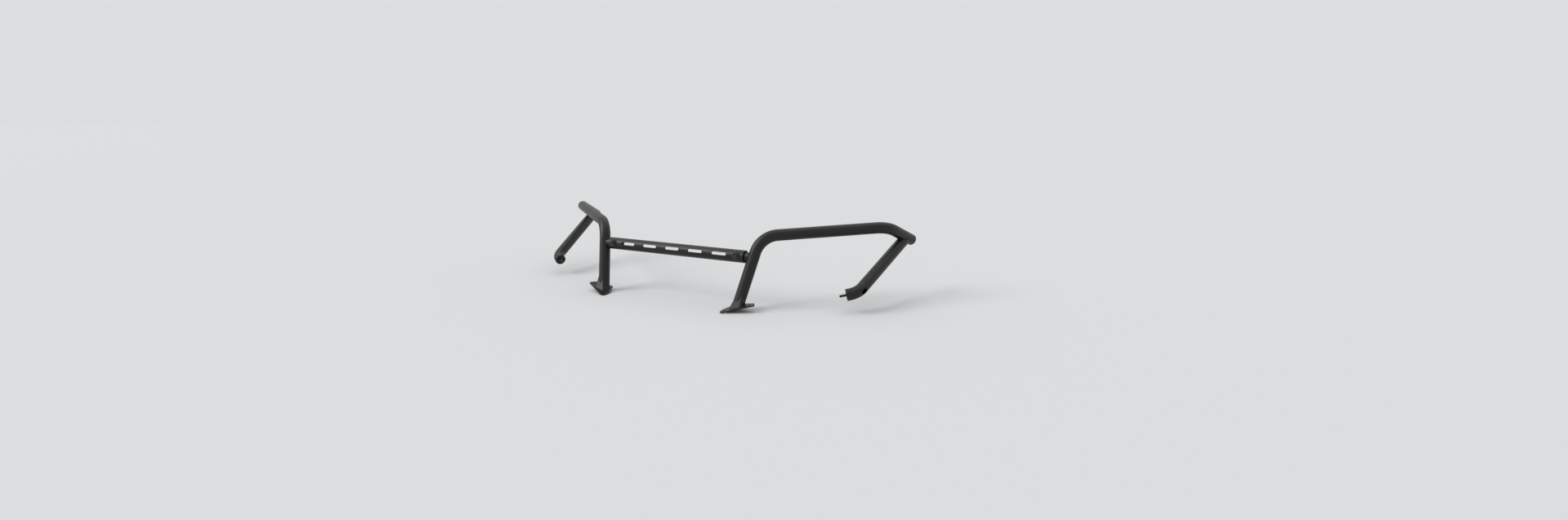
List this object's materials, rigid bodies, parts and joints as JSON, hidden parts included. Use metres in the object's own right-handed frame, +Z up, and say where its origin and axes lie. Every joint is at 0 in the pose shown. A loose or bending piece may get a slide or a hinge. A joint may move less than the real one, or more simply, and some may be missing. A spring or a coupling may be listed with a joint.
{
  "type": "front bumper guard",
  "caption": "Tubular guard that bolts on top of a utility vehicle's front bumper: side hoops with rear braces and elbows, and a slotted cross bar between the legs.",
  "frame": {"origin": "midway between the two feet, where the leg axes meet the tops of the foot plates", "axes": "+X to the vehicle's left, -Y to the front, +Z up"},
  "size_m": [1.6788, 0.6173, 0.3076],
  "materials": {
    "powder_coat": "satin black powder coat on steel tube",
    "black_hardware": "black zinc",
    "bushing": "matt black nylon"
  },
  "bodies": {
    "root": {"hoop_left": "powder_coat", "hoop_right": "powder_coat", "tail_cap_left": "powder_coat", "tail_cap_right": "powder_coat", "brace_left": "powder_coat", "brace_right": "powder_coat", "elbow_left": "powder_coat", "elbow_right": "powder_coat", "elbow_plug_left": "powder_coat", "elbow_plug_right": "powder_coat", "foot_plate_left": "powder_coat", "foot_plate_right": "powder_coat", "foot_shoe_left": "powder_coat", "foot_shoe_right": "powder_coat", "bar_stub_left": "powder_coat", "bar_stub_right": "powder_coat", "bar_bushing_left": "bushing", "bar_bushing_right": "bushing", "elbow_bolt_left": "black_hardware", "elbow_bolt_right": "black_hardware", "elbow_washer_left": "black_hardware", "elbow_washer_right": "black_hardware", "bar_bolt_left": "black_hardware", "bar_bolt_right": "black_hardware", "bar_nut_left": "black_hardware", "bar_nut_right": "black_hardware", "bar_saddle_front_left": "black_hardware", "bar_saddle_front_right": "black_hardware", "bar_saddle_rear_left": "black_hardware", "bar_saddle_rear_right": "black_hardware", "cross_bar": "powder_coat"}
  },
  "joints": []
}
